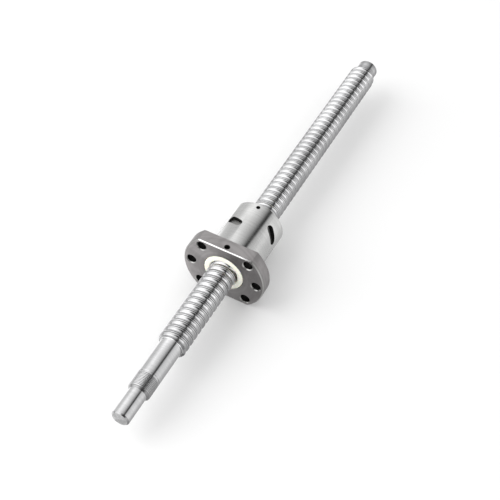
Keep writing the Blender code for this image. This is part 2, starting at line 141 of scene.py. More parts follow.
# The room's light levels, which polished steel shows. ROOM_ROUND goes by degrees round the screw's axis
# from straight up, and ROOM_ALONG weighs it by degrees from square across the screw to its far end.
# ROOM_BEHIND replaces it behind the drive end, where the dark panel is wider, while the direction's X
# falls from BEHIND_FROM to BEHIND_TO.
ROOM_ROUND = (
    (-180, 0.55), (-150, 0.70), (-105, 0.95), (-88, 0.90), (-78, 0.84), (-70, 0.94), (-61, 1.12), (-52, 1.32),
    (-40, 1.44), (-30, 1.36), (-15, 1.12), (0, 0.90), (12, 0.66), (22, 0.40), (30, 0.11), (38, 0.04),
    (42, 0.25), (46, 0.70), (55, 0.90), (72, 1.00), (90, 1.08), (110, 0.95), (180, 0.55),
)
ROOM_BEHIND = (
    (-180, 0.60), (-116, 1.50), (-100, 1.60), (-85, 1.70), (-70, 1.90), (-55, 2.10), (-34, 2.00), (-18, 1.45),
    (-8, 0.90), (-2, 0.58), (15, 0.25), (28, 0.05), (50, 0.02), (63, 0.06), (77, 0.28), (92, 0.80), (115, 1.30),
    (136, 1.20), (180, 0.60),
)
ROOM_ALONG = (
    (-90, 1.7), (-40, 1.9), (-28, 2.05), (-8, 2.1), (2, 1.7), (14, 1.3), (26, 1.02), (37, 1.0), (47, 0.86),
    (60, 0.85), (78, 0.8), (90, 0.7),
)
BEHIND_FROM = -0.50
BEHIND_TO = -0.75
ROOM_BRIGHTEST = 2.2
AMBIENT = 1.0
WHITE = 1.0

world = bpy.data.worlds.new("studio")
world.use_nodes = True
scene.world = world
tree = world.node_tree
tree.nodes.clear()
direction = axes_of(tree, "Generated")
around = turn_from_top(tree, direction)
rest = levels(tree, around, pi, ROOM_ROUND, 180, ROOM_BRIGHTEST)
behind = levels(tree, around, pi, ROOM_BEHIND, 180, ROOM_BRIGHTEST)
along = levels(tree, maths(tree, "ARCSINE", direction["X"]), pi / 2, ROOM_ALONG, 90, ROOM_BRIGHTEST)
faded = times(tree, rest, maths(tree, "MULTIPLY", along, ROOM_BRIGHTEST))
turned = between(tree, direction["X"], BEHIND_FROM, BEHIND_TO, kind="SMOOTHSTEP")
room = times(tree, blend(tree, turned, faded, behind), ROOM_BRIGHTEST)
path = put(tree, "ShaderNodeLightPath").outputs
plain = blend(tree, path["Is Glossy Ray"], (AMBIENT, AMBIENT, AMBIENT, 1), room)
seen = maths(tree, "MAXIMUM", path["Is Camera Ray"], path["Is Transmission Ray"])
shown = blend(tree, seen, plain, (WHITE, WHITE, WHITE, 1))
background = put(tree, "ShaderNodeBackground", {"Color": shown, "Strength": 1.0})
put(tree, "ShaderNodeOutputWorld", {"Surface": background.outputs[0]})

lamp = added("soft_lamp", bpy.data.lights.new("soft_lamp", "AREA"))
lamp.data.shape = "DISK"
lamp.data.size = 1.40
lamp.data.energy = 12.5
lamp.location = (-0.28, 0.85, 0.75)
lamp_aim = Vector((0.2, 0, 0))
lamp.rotation_mode = "QUATERNION"
lamp.rotation_quaternion = (lamp_aim - lamp.location).to_track_quat("-Z", "Y")
lamp.visible_glossy = False

# The flange's lower flat rests on the table, wherever the nut stands. Far off, the table fades into the
# background.
TABLE_HEIGHT = -0.0222
TABLE_REACH = 4.0
FADE_FROM = 0.45
FADE_TO = 1.6
FADED_LIFT = 0.5
# What steel shows of the table, painted, by metres to the screw's left: bright, with a painted shadow on the right
MIRRORED = (
    (-0.2, 1.05), (-0.10, 1.0), (-0.045, 0.78), (-0.012, 0.52), (0.008, 0.80), (0.03, 1.35), (0.050, 1.38),
    (0.080, 0.98), (0.12, 0.82), (0.2, 0.80),
)
MIRRORED_REACH = 0.2
MIRRORED_BRIGHTEST = 1.5
TABLE_LIFT = 0.06
TABLE_WHITE = 0.74
corners = [(x * TABLE_REACH, y * TABLE_REACH, TABLE_HEIGHT) for x, y in ((-1, -1), (1, -1), (1, 1), (-1, 1))]
table_mesh = bpy.data.meshes.new("table")
table_mesh.from_pydata(corners, [], [(0, 1, 2, 3)])
table = added("table", table_mesh)
paint = bpy.data.materials.new("table_white")
paint.use_nodes = True
tree = paint.node_tree
tree.nodes.clear()
path = put(tree, "ShaderNodeLightPath").outputs
seen = maths(tree, "MAXIMUM", path["Is Camera Ray"], path["Is Transmission Ray"])
spot = axes_of(tree)
distance = length_of(tree, spot["X"], spot["Y"])
faded = between(tree, distance, FADE_FROM, FADE_TO, TABLE_LIFT, FADED_LIFT, "SMOOTHSTEP")
lift = put(tree, "ShaderNodeEmission", {"Color": (1, 1, 1, 1), "Strength": maths(tree, "MULTIPLY", seen, faded)})
matte = put(tree, "ShaderNodeBsdfDiffuse", {"Color": (TABLE_WHITE, TABLE_WHITE, TABLE_WHITE, 1)})
both = put(tree, "ShaderNodeAddShader", {0: lift.outputs[0], 1: matte.outputs[0]})
# In glossy rays the table glows with these painted levels instead of its lit diffuse white
mirrored = levels(tree, spot["Y"], MIRRORED_REACH, MIRRORED, MIRRORED_REACH, MIRRORED_BRIGHTEST)
shine = put(tree, "ShaderNodeEmission", {"Color": mirrored, "Strength": MIRRORED_BRIGHTEST})
either = put(tree, "ShaderNodeMixShader", {0: path["Is Glossy Ray"], 1: both.outputs[0], 2: shine.outputs[0]})
put(tree, "ShaderNodeOutputMaterial", {"Surface": either.outputs[0]})
table_mesh.materials.append(paint)

# ---------------------------------------------------------------------------------------------------
# Ball thread: the screw is a round bar of hardened steel whose ball groove is rolled in, right-handed,
# 5 mm a turn. The groove is ground by the dies to a bright finish. The land beside it has rounded
# shoulders and a fine seam in its middle, where the metal pushed up from both sides meets.
LEAD = 0.005
SCREW_RADIUS = 0.00975
BALL_RADIUS = 0.0015875
BALL_CIRCLE_RADIUS = 0.0103
GROOVE_RADIUS = 0.00170
GROOVE_AT_TOP = 0.00088
SHOULDER = 0.060
THREAD_END = 0.3515
THREAD_END_DROP = 0.00225
THREAD_END_TAPER = 0.0035
SEAM_DEPTH = 0.00050
SEAM_HALF = 0.023
SEAM_SHADE = 0.40
THREAD_STEPS = 64
# Corners nearer than this are one: in the swept thread, in any other solid, and along a cut
THREAD_WELD = 0.000002
WELD = 0.000001
CUT_WELD = 0.0000001
# The share of a face's normal that points along an axis: at least SQUARE_ON on an end face, and at least
# LEANING on a chamfer
SQUARE_ON = 0.95
LEANING = 0.4
AT_SHOULDER = 0.0001


def tree_of(name, kind, inputs, outputs):
    """An empty node tree with named sockets: its input node and its output node."""
    made = bpy.data.node_groups.new(name, kind)
    for label, socket, value in inputs:
        slot = made.interface.new_socket(label, in_out="INPUT", socket_type=socket)
        if value is not None:
            slot.default_value = value
    for label, socket in outputs:
        made.interface.new_socket(label, in_out="OUTPUT", socket_type=socket)
    return made, made.nodes.new("NodeGroupInput").outputs, made.nodes.new("NodeGroupOutput")


def evaluated(piece):
    """The mesh that a piece has with its modifiers, or a curve with its depth."""
    bpy.context.view_layer.update()
    return bpy.data.meshes.new_from_object(piece.evaluated_get(bpy.context.evaluated_depsgraph_get()))


def grown(name, base, growth, values):
    """A plain mesh object: the base mesh with a Geometry Nodes tree run on it and made part of it."""
    piece = added(name, base)
    modifier = piece.modifiers.new("growth", "NODES")
    modifier.node_group = growth
    for item in growth.interface.items_tree:
        if item.in_out == "INPUT" and item.name in values:
            modifier[item.identifier] = values[item.name]
    mesh = evaluated(piece)
    mesh.name = name
    piece.modifiers.remove(modifier)
    piece.data = mesh
    bpy.data.meshes.remove(base)
    return piece


helix, given, result = tree_of(
    "thread_sweep",
    "GeometryNodeTree",
    [
        ("Profile", "NodeSocketGeometry", None),
        ("Lead", "NodeSocketFloat", LEAD),
        ("Turns", "NodeSocketInt", 10),
        ("Steps", "NodeSocketInt", THREAD_STEPS),
        ("Finish", "NodeSocketMaterial", None),
    ],
    [("Thread", "NodeSocketGeometry")],
)
size = put(helix, "GeometryNodeAttributeDomainSize", {0: given["Profile"]}, component="MESH")
count = size.outputs["Point Count"]
columns = maths(helix, "MULTIPLY_ADD", given["Turns"], given["Steps"], 1.0)
sheet = put(helix, "GeometryNodeMeshGrid", {"Vertices X": columns, "Vertices Y": count})
index = put(helix, "GeometryNodeInputIndex").outputs[0]
step = maths(helix, "FLOOR", maths(helix, "DIVIDE", maths(helix, "ADD", index, 0.5), count))
corner = maths(helix, "SUBTRACT", index, maths(helix, "MULTIPLY", step, count))
sampled = put(
    helix, "GeometryNodeSampleIndex",
    {"Geometry": given["Profile"], "Value": put(helix, "GeometryNodeInputPosition").outputs[0], "Index": corner},
    data_type="FLOAT_VECTOR",
)
flat = put(helix, "ShaderNodeSeparateXYZ", {0: sampled.outputs["Value"]}).outputs
turn = maths(helix, "DIVIDE", step, given["Steps"])
angle = maths(helix, "MULTIPLY", turn, 2 * pi)
spot = put(
    helix, "ShaderNodeCombineXYZ",
    {
        "X": maths(helix, "MULTIPLY_ADD", turn, given["Lead"], flat["X"]),
        "Y": maths(helix, "MULTIPLY", maths(helix, "MULTIPLY", flat["Z"], maths(helix, "SINE", angle)), -1.0),
        "Z": maths(helix, "MULTIPLY", flat["Z"], maths(helix, "COSINE", angle)),
    },
)
swept = put(helix, "GeometryNodeSetPosition", {"Geometry": sheet.outputs["Mesh"], "Position": spot.outputs[0]})
welded = put(helix, "GeometryNodeMergeByDistance", {"Geometry": swept.outputs[0], "Distance": THREAD_WELD})
real = put(helix, "GeometryNodeRealizeInstances", {"Geometry": welded.outputs[0]})
coated = put(helix, "GeometryNodeSetMaterial", {"Geometry": real.outputs[0], "Material": given["Finish"]})
helix.links.new(coated.outputs[0], result.inputs["Thread"])


def profile_mesh(name, points):
    """(x, radius) points as a line of edges in the plane of +X and +Z."""
    mesh = bpy.data.meshes.new(name)
    mesh.from_pydata([(x, 0, radius) for x, radius in points], [(i, i + 1) for i in range(len(points) - 1)], [])
    return mesh


def written(shape, mesh, weld=WELD):
    """Welds a bmesh's corners, turns its faces outwards and makes it the mesh's shape."""
    bmesh.ops.remove_doubles(shape, verts=shape.verts, dist=weld)
    bmesh.ops.recalc_face_normals(shape, faces=shape.faces)
    shape.to_mesh(mesh)
    shape.free()


def trimmed(piece, first, last, limit):
    """Cuts a swept thread square at both ends, closes them, and keeps it inside limit(x), a radius."""
    shape = bmesh.new()
    shape.from_mesh(piece.data)
    for place, side in ((first, -1), (last, 1)):
        everything = shape.verts[:] + shape.edges[:] + shape.faces[:]
        made = bmesh.ops.bisect_plane(
            shape, geom=everything, dist=CUT_WELD, plane_co=(place, 0, 0), plane_no=(side, 0, 0), clear_outer=True
        )
        rim = [item for item in made["geom_cut"] if isinstance(item, bmesh.types.BMEdge)]
        bmesh.ops.edgeloop_fill(shape, edges=rim)
    for vert in shape.verts:
        radius = hypot(vert.co.y, vert.co.z)
        if radius > limit(vert.co.x):
            vert.co.yz = vert.co.yz * (limit(vert.co.x) / radius)
    written(shape, piece.data)


def finished(piece, body, slot, *nodes, sharp=35):
    """Smooth faces with crisp edges, then the piece's body, and hides the plain nodes that it stands for. The slot
    is not used.
    """
    piece.data.shade_smooth()
    piece.data.set_sharp_from_angle(angle=radians(sharp))
    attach(piece, body)
    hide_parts(*nodes)


# Fine rings left by a tool or a stone: they run round the screw's axis, on cylinders and on end faces alike.
# About nine rings make one band of tone.
BAND_SHARE = 0.11
marks, given, result = tree_of(
    "tool_marks",
    "ShaderNodeTree",
    [("Spacing", "NodeSocketFloat", 0.0002), ("Roughened", "NodeSocketFloat", 0.5)],
    [("Height", "NodeSocketFloat"), ("Tone", "NodeSocketFloat")],
)
spot = axes_of(marks)
along = maths(marks, "ADD", spot["X"], length_of(marks, spot["Y"], spot["Z"]))
across = maths(marks, "DIVIDE", along, given["Spacing"])
fine = put(
    marks, "ShaderNodeTexNoise",
    {"W": across, "Scale": 1.0, "Detail": 2.0, "Roughness": given["Roughened"]},
    noise_dimensions="1D",
)
wide = put(
    marks, "ShaderNodeTexNoise",
    {"W": maths(marks, "MULTIPLY", across, BAND_SHARE), "Scale": 1.0, "Detail": 3.0},
    noise_dimensions="1D",
)
marks.links.new(fine.outputs[0], result.inputs["Height"])
marks.links.new(wide.outputs[0], result.inputs["Tone"])

# Faint oil film, finger marks and stains: soft patches, where the noise passes an edge, and fine grit
GRIT_SCALE = 2600.0
FILM_EDGE = 0.7
FILM_FULL = 0.72
patches, given, result = tree_of(
    "handling",
    "ShaderNodeTree",
    [("Size", "NodeSocketFloat", 0.02), ("Spread", "NodeSocketFloat", 0.5)],
    [("Mask", "NodeSocketFloat"), ("Grit", "NodeSocketFloat")],
)
spot = put(patches, "ShaderNodeTexCoord").outputs["Object"]
large = put(
    patches, "ShaderNodeTexNoise",
    {"Vector": spot, "Scale": maths(patches, "DIVIDE", 1.0, given["Size"]), "Detail": 4.0, "Distortion": 0.6},
)
small = put(patches, "ShaderNodeTexNoise", {"Vector": spot, "Scale": GRIT_SCALE, "Detail": 3.0})
bare_below = maths(patches, "MULTIPLY", given["Spread"], FILM_EDGE)
soft = between(patches, large.outputs[0], bare_below, FILM_FULL, kind="SMOOTHSTEP")
patches.links.new(soft, result.inputs["Mask"])
patches.links.new(small.outputs[0], result.inputs["Grit"])

# How much of a steel's tone and roughness the marks and the film take
MARKS_TONE = 0.7
FILM_TONE = 0.5
MARKS_ROUGHNESS = 0.10
FILM_ROUGHNESS = 0.06
SMOOTHER = 0.05


def steel(name, bright, dull, roughness, spacing, depth, patch=0.02, grain=0.0):
    """Bare steel with tool marks. It goes from bright to dull with the marks and with handling."""
    made = bpy.data.materials.new(name)
    made.use_nodes = True
    tree = made.node_tree
    shader = tree.nodes["Principled BSDF"]
    shader.inputs["Metallic"].default_value = 1.0
    lines = put(tree, "ShaderNodeGroup", {"Spacing": spacing}, node_tree=marks).outputs
    film = put(tree, "ShaderNodeGroup", {"Size": patch}, node_tree=patches).outputs
    mixed = maths(tree, "MULTIPLY", film["Mask"], FILM_TONE)
    mixed = maths(tree, "MULTIPLY_ADD", lines["Tone"], MARKS_TONE, mixed)
    tree.links.new(ramp(tree, mixed, [(0.25, bright), (0.75, dull)]), shader.inputs["Base Color"])
    worn = maths(tree, "MULTIPLY_ADD", film["Mask"], FILM_ROUGHNESS, roughness - SMOOTHER)
    worn = maths(tree, "MULTIPLY_ADD", lines["Tone"], MARKS_ROUGHNESS, worn)
    tree.links.new(worn, shader.inputs["Roughness"])
    height = maths(tree, "MULTIPLY_ADD", film["Grit"], grain, lines["Height"])
    bump = put(tree, "ShaderNodeBump", {"Height": height, "Distance": depth, "Strength": 0.6})
    tree.links.new(bump.outputs[0], shader.inputs["Normal"])
    return made


def darkened(made, share):
    """Multiplies a steel's colour by a node's value."""
    base = made.node_tree.nodes["Principled BSDF"].inputs["Base Color"]
    made.node_tree.links.new(times(made.node_tree, base.links[0].from_socket, share), base)


faced_steel = steel("faced_steel", (0.62, 0.62, 0.62), (0.48, 0.48, 0.48), 0.24, 0.0004, 0.000004)
rolled_steel = steel("rolled_steel", (0.53, 0.53, 0.535), (0.42, 0.42, 0.425), 0.12, 0.00022, 0.000002)

# Painted shade darkens the crease of the seam, within SEAM_HALF of a lead. Its place on the helix comes from
# the distance along the screw and the angle round it.
tree = rolled_steel.node_tree
spot = axes_of(tree)
along = maths(tree, "MULTIPLY_ADD", spot["X"], 1 / LEAD, -GROOVE_AT_TOP / LEAD)
turned = maths(tree, "MULTIPLY", turn_from_top(tree, spot), 1 / (2 * pi))
phase = maths(tree, "FRACT", maths(tree, "SUBTRACT", along, turned))
off_seam = maths(tree, "ABSOLUTE", maths(tree, "SUBTRACT", phase, 0.5))
darkened(rolled_steel, between(tree, off_seam, SEAM_HALF, 2 * SEAM_HALF, SEAM_SHADE))

groove_points = [
    (GROOVE_RADIUS * sin(radians(step)), BALL_CIRCLE_RADIUS - GROOVE_RADIUS * cos(radians(step)))
    for step in range(-68, 69, 8)
]
# Half of the land, as (x, drop below the crest): a rounded shoulder, a low crest and the slope into the seam
half_land = [
    (0.00166, 0.00006), (0.00176, 0.00001), (0.00190, 0.0), (0.00206, 0.000006), (0.00220, 0.00003),
    (0.00230, 0.00012),
]
shoulder_points = [(x, SCREW_RADIUS - drop) for x, drop in half_land]
far_shoulder_points = [(LEAD - x, radius) for x, radius in reversed(shoulder_points)]
one_lead = groove_points + shoulder_points + [(LEAD / 2, SCREW_RADIUS - SEAM_DEPTH)] + far_shoulder_points
one_lead.append((LEAD + groove_points[0][0], groove_points[0][1]))

first_turn = floor((SHOULDER - GROOVE_AT_TOP) / LEAD) - 1
turns = ceil((THREAD_END - SHOULDER) / LEAD) + 3
start = GROOVE_AT_TOP + first_turn * LEAD
thread = grown(
    "ball_thread",
    profile_mesh("ball_thread_profile", [(start + x, radius) for x, radius in one_lead]),
    helix,
    {"Lead": LEAD, "Turns": turns, "Steps": THREAD_STEPS, "Finish": rolled_steel},
)
taper = THREAD_END_DROP / THREAD_END_TAPER
trimmed(
    thread, SHOULDER, THREAD_END,
    lambda x: min(SCREW_RADIUS, SCREW_RADIUS - THREAD_END_DROP + (THREAD_END - x) * taper),
)
thread.data.materials.append(faced_steel)
for face in thread.data.polygons:
    if abs(face.normal.x) > SQUARE_ON and abs(face.center.x - SHOULDER) < AT_SHOULDER:
        face.material_index = 1
finished(thread, "screw", "screw_steel", "screw_shaft", sharp=50)

# ---------------------------------------------------------------------------------------------------
# Turned ends of the screw: the 12 mm drive journal, the 15 mm seat of the support bearing and the 15 mm
# stub at the far end. They are turned and then ground on centres, so fine rings run round them.
DRIVE_RADIUS = 0.006
DRIVE_LENGTH = 0.020
DRIVE_CHAMFER = 0.0009
LOCKNUT_END = 0.033
RELIEF_WIDTH = 0.0012
RELIEF_DEPTH = 0.0004
BEARING_RADIUS = 0.0075
TAIL_LENGTH = 0.0085
TAIL_CHAMFER = 0.0010
TURNED_STEPS = 96
EDGE_BREAK = 0.00015
ROOT_FILLET = 0.0005


def ring(x, radius, steps=TURNED_STEPS):
    """Points on a circle round the screw's axis."""
    turns = [2 * pi * i / steps for i in range(steps)]
    return [Vector((x, -radius * sin(turn), radius * cos(turn))) for turn in turns]


def lofted(name, rings, finish, closed=False):
    """A solid with a skin from ring to ring. Closed joins last and first, and otherwise both are filled."""
    shape = bmesh.new()
    rows = [[shape.verts.new(point) for point in points] for points in rings]
    pairs = list(zip(rows, rows[1:]))
    if closed:
        pairs.append((rows[-1], rows[0]))
    else:
        shape.faces.new(rows[0])
        shape.faces.new(reversed(rows[-1]))
    for first, second in pairs:
        for i in range(len(first)):
            j = (i + 1) % len(first)
            shape.faces.new((first[i], first[j], second[j], second[i]))
    mesh = bpy.data.meshes.new(name)
    written(shape, mesh, CUT_WELD)
    mesh.materials.append(finish)
    return added(name, mesh)


ground_steel = steel(
    "ground_steel", (0.64, 0.64, 0.645), (0.56, 0.56, 0.565), 0.10, 0.00018, 0.000001, patch=0.015
)
turned_steel = steel("turned_steel", (0.52, 0.52, 0.525), (0.36, 0.36, 0.365), 0.18, 0.0005, 0.000004)
end_steel = steel("end_steel", (0.78, 0.78, 0.785), (0.50, 0.50, 0.505), 0.22, 0.0009, 0.00002, patch=0.004)
drive_end = lofted(
    "drive_journal",
    [
        ring(0, DRIVE_RADIUS - DRIVE_CHAMFER), ring(DRIVE_CHAMFER, DRIVE_RADIUS),
        ring(DRIVE_LENGTH, DRIVE_RADIUS),
    ],
    ground_steel,
)
drive_end.data.materials.append(end_steel)
drive_end.data.materials.append(turned_steel)
for face in drive_end.data.polygons:
    if face.normal.x < -LEANING:
        face.material_index = 1 if face.normal.x < -SQUARE_ON else 2
finished(drive_end, "screw", "screw_steel", "screw_shaft")
seat = lofted(
    "bearing_journal",
    [
        ring(LOCKNUT_END - RELIEF_WIDTH, BEARING_RADIUS - RELIEF_DEPTH),
        ring(LOCKNUT_END, BEARING_RADIUS - RELIEF_DEPTH),
        ring(LOCKNUT_END, BEARING_RADIUS - EDGE_BREAK),
        ring(LOCKNUT_END + EDGE_BREAK, BEARING_RADIUS),
    ]
    + [
        ring(SHOULDER - ROOT_FILLET * (1 - sin(turn)), BEARING_RADIUS + ROOT_FILLET * (1 - cos(turn)))
        for turn in (pi * step / 10 for step in range(6))
    ],
    ground_steel,
)
finished(seat, "screw", "screw_steel", "screw_shaft")
tail_end = THREAD_END + TAIL_LENGTH
tail = lofted(
    "far_journal",
    [
        ring(THREAD_END, BEARING_RADIUS), ring(tail_end - TAIL_CHAMFER, BEARING_RADIUS),
        ring(tail_end, BEARING_RADIUS - TAIL_CHAMFER),
    ],
    turned_steel,
)
finished(tail, "screw", "screw_steel", "screw_shaft")

# ---------------------------------------------------------------------------------------------------
# Lock nut thread: M15 x 1, cut with a single point after the journal is turned, for the nut that holds the
# support bearing. It has a 45 degree chamfer in front and runs out in the relief behind. Its roots are
# darkened with painted shade, and the chamfer is ground bright.
LOCKNUT_PITCH = 0.001
LOCKNUT_RADIUS = 0.0075
LOCKNUT_CHAMFER = 0.0015
LOCKNUT_THREAD_DEPTH = 0.00050
LOCKNUT_TURNS = 16
CREST_HALF = 0.00004
ROOT_HALF = 0.00003
ROOT_SHADE = 0.55
CHAMFER_SKIN = 0.00002
cut_steel = steel("cut_steel", (0.66, 0.66, 0.665), (0.52, 0.52, 0.525), 0.21, 0.00012, 0.000002)
root_radius = LOCKNUT_RADIUS - LOCKNUT_THREAD_DEPTH
tree = cut_steel.node_tree
spot = axes_of(tree)
off_axis = length_of(tree, spot["Y"], spot["Z"])
# Painted shade: the colour darkens from the crests down to the roots
darkened(cut_steel, between(tree, off_axis, root_radius, LOCKNUT_RADIUS, ROOT_SHADE))
one_pitch = [
    (-CREST_HALF, LOCKNUT_RADIUS), (CREST_HALF, LOCKNUT_RADIUS),
    (LOCKNUT_PITCH / 2 - ROOT_HALF, root_radius), (LOCKNUT_PITCH / 2 + ROOT_HALF, root_radius),
    (LOCKNUT_PITCH - CREST_HALF, LOCKNUT_RADIUS),
]
thread_start = DRIVE_LENGTH - 2 * LOCKNUT_PITCH
locknut_last = LOCKNUT_END - RELIEF_WIDTH
locknut = grown(
    "locknut_thread",
    profile_mesh("locknut_profile", [(thread_start + x, radius) for x, radius in one_pitch]),
    helix,
    {"Lead": LOCKNUT_PITCH, "Turns": LOCKNUT_TURNS, "Steps": TURNED_STEPS, "Finish": cut_steel},
)


def locknut_limit(x):
    """The radius of the bar that the thread is cut in: a cylinder with a chamfered end."""
    return min(LOCKNUT_RADIUS, LOCKNUT_RADIUS - LOCKNUT_CHAMFER + x - DRIVE_LENGTH)


trimmed(locknut, DRIVE_LENGTH, locknut_last, locknut_limit)
locknut.data.materials.append(ground_steel)
for face in locknut.data.polygons:
    off_axis = hypot(face.center.y, face.center.z)
    if off_axis > locknut_limit(face.center.x) - CHAMFER_SKIN and face.normal.x < -LEANING:
        face.material_index = 1
finished(locknut, "screw", "screw_steel", "screw_shaft", sharp=25)

# ---------------------------------------------------------------------------------------------------
# Nut body: flange and barrel in one piece of hardened bearing steel. The barrel is ground bright, the
# flange keeps its darker hard-turned skin. Six countersunk bolt holes, a lubrication hole in the upper
# flat, four slanted windows for the ball returns and a small hole for the rear wiper's set screw.
NUT_FRONT = 0.1268
NUT_LENGTH = 0.051
NUT_RADIUS = 0.018
NUT_REAR = NUT_FRONT + NUT_LENGTH
REAR_CHAMFER = 0.0010
FLANGE_RADIUS = 0.029
FLANGE_HALF_WIDTH = 0.022
FLANGE_THICKNESS = 0.010
FLANGE_FRONT_CHAMFER = 0.0006
FLANGE_REAR_CHAMFER = 0.0010
CORNER_FILLET = 0.0006
FILLET_MIDDLE_X = CORNER_FILLET * 0.2
FILLET_MIDDLE_RISE = CORNER_FILLET * 0.35
BORE_RADIUS = 0.01015
POCKET_RADIUS = 0.01427
FRONT_POCKET = 0.0033
REAR_POCKET = 0.0053
BOLT_CIRCLE_RADIUS = 0.0235
BOLT_HOLE_RADIUS = 0.0033
BOLT_HOLE_CHAMFER = 0.00055
LUBE_HOLE_RADIUS = 0.0017
LUBE_HOLE_CHAMFER = 0.0003
LUBE_HOLE_X = 0.1302
SET_SCREW_X = 0.1738
SET_SCREW_HOLE_RADIUS = 0.0012
SET_SCREW_HOLE_CHAMFER = 0.00025
RETURN_LENGTH = 0.0132
RETURN_WIDTH = 0.0054
RETURN_TILT = radians(23.5)
RETURN_REACH = 0.0024
RETURN_STEP = 1.25 * LEAD
LAST_RETURN = 0.0136
LAST_RETURN_DEGREES = 60
WINDOW_BREAK = 0.00022
POCKET_EDGE = 0.0002
BARREL_START = 0.004
# How far a cutter reaches past the face that it opens, and into the bore
OVERCUT = 0.001
INTO_BORE = 0.0004
HOLE_STEPS = 48
ROUND_STEPS = 144
GROOVE_STEPS = 48


def baked(piece):
    """Makes the piece's modifiers part of its mesh."""
    mesh = evaluated(piece)
    piece.modifiers.clear()
    piece.data = mesh


def carved(piece, cutter, operation="DIFFERENCE"):
    """Takes the cutter out of the piece, or joins it on, and clears the cutter away."""
    boolean = piece.modifiers.new("carve", "BOOLEAN")
    boolean.operation = operation
    boolean.object = cutter
    boolean.solver = "EXACT"
    boolean.material_mode = "TRANSFER"
    baked(piece)
    bpy.data.objects.remove(cutter)


def flange_ring(x, inset, arc_steps=40, flat_steps=6):
    """The flange's outline, a circle with two flats, drawn in by an inset."""
    radius, half = FLANGE_RADIUS - inset, FLANGE_HALF_WIDTH - inset
    corner = atan2(sqrt(radius * radius - half * half), half)
    points = []
    for side in (0, pi):
        for i in range(flat_steps):
            across = half * tan(-corner + 2 * corner * i / flat_steps)
            points.append((side, across, half))
        for i in range(arc_steps):
            angle = corner + (pi - 2 * corner) * i / arc_steps
            points.append((side, radius * sin(angle), radius * cos(angle)))
    return [
        Vector((x, -(cos(side) * across + sin(side) * height), cos(side) * height - sin(side) * across))
        for side, across, height in points
    ]


def spun(name, profile, place, finish, steps=HOLE_STEPS):
    """(depth, radius) points turned about the place's +Z, with depth counted inwards."""
    corners = [(cos(2 * pi * i / steps), sin(2 * pi * i / steps)) for i in range(steps)]
    rings = [[place @ Vector((radius * x, radius * y, -depth)) for x, y in corners] for depth, radius in profile]
    return lofted(name, rings, finish)


def outward(x, angle, radius):
    """A place whose +Z points out from the axis at the angle, and whose +X stays along the screw."""
    return Matrix.Translation((x, 0, 0)) @ Matrix.Rotation(angle, 4, "X") @ Matrix.Translation((0, 0, radius))


def return_stations():
    """(x, angle) of each ball return, a quarter turn and a lead and a quarter from one to the next."""
    found = []
    for back in range(3, -1, -1):
        angle = radians(LAST_RETURN_DEGREES - 90 * back)
        land = GROOVE_AT_TOP + LEAD * angle / (2 * pi) + LEAD / 2
        wanted = NUT_REAR - LAST_RETURN - back * RETURN_STEP
        found.append((land + LEAD * round((wanted - land) / LEAD), angle))
    return found


def window_place(station):
    """The place of a return's window, slanted so that it lies across the thread."""
    return outward(*station, 0) @ Matrix.Rotation(-RETURN_TILT, 4, "Z")


def slot_ring(length, width, height, place, arc_steps=14):
    """An outline with round ends, its long side along the place's Y."""
    half, end_radius = (length - width) / 2, width / 2
    points = [
        (end_radius * cos(pi * i / arc_steps + end), shift + end_radius * sin(pi * i / arc_steps + end))
        for end, shift in ((0, half), (pi, -half))
        for i in range(arc_steps + 1)
    ]
    return [place @ Vector((across, along, height)) for across, along in points]


flange_steel = steel(
    "flange_steel", (0.31, 0.297, 0.297), (0.24, 0.23, 0.23), 0.42, 0.00035, 0.000005, patch=0.012, grain=0.4
)
# Bright steel for the upper flat's front chamfer: a painted highlight
highlight_edge_steel = steel("highlight_edge_steel", (0.88, 0.88, 0.88), (0.74, 0.74, 0.74), 0.26, 0.0003, 0.000002)
barrel_steel = steel(
    "barrel_steel", (0.61, 0.61, 0.605), (0.55, 0.55, 0.545), 0.12, 0.00016, 0.0000006, patch=0.018
)
bore_steel = steel("bore_steel", (0.46, 0.46, 0.45), (0.34, 0.34, 0.33), 0.32, 0.0003, 0.000004)
# Near-black steel lines the holes and the return windows: painted shade in them
hole_shade_steel = steel("hole_shade_steel", (0.06, 0.06, 0.058), (0.035, 0.035, 0.034), 0.42, 0.0004, 0.00001, grain=0.3)

behind_flange = NUT_FRONT + FLANGE_THICKNESS
nut = lofted(
    "nut_body",
    [
        flange_ring(NUT_FRONT, FLANGE_FRONT_CHAMFER), flange_ring(NUT_FRONT + FLANGE_FRONT_CHAMFER, 0),
        flange_ring(behind_flange - FLANGE_REAR_CHAMFER, 0), flange_ring(behind_flange, FLANGE_REAR_CHAMFER),
    ],
    flange_steel,
)
barrel = lofted(
    "barrel",
    [
        ring(NUT_FRONT + BARREL_START, NUT_RADIUS, ROUND_STEPS),
        ring(behind_flange - CORNER_FILLET, NUT_RADIUS + CORNER_FILLET, ROUND_STEPS),
        ring(behind_flange + FILLET_MIDDLE_X, NUT_RADIUS + FILLET_MIDDLE_RISE, ROUND_STEPS),
        ring(behind_flange + CORNER_FILLET, NUT_RADIUS, ROUND_STEPS),
        ring(NUT_REAR - REAR_CHAMFER, NUT_RADIUS, ROUND_STEPS),
        ring(NUT_REAR, NUT_RADIUS - REAR_CHAMFER, ROUND_STEPS),
    ],
    barrel_steel,
)
carved(nut, barrel, "UNION")
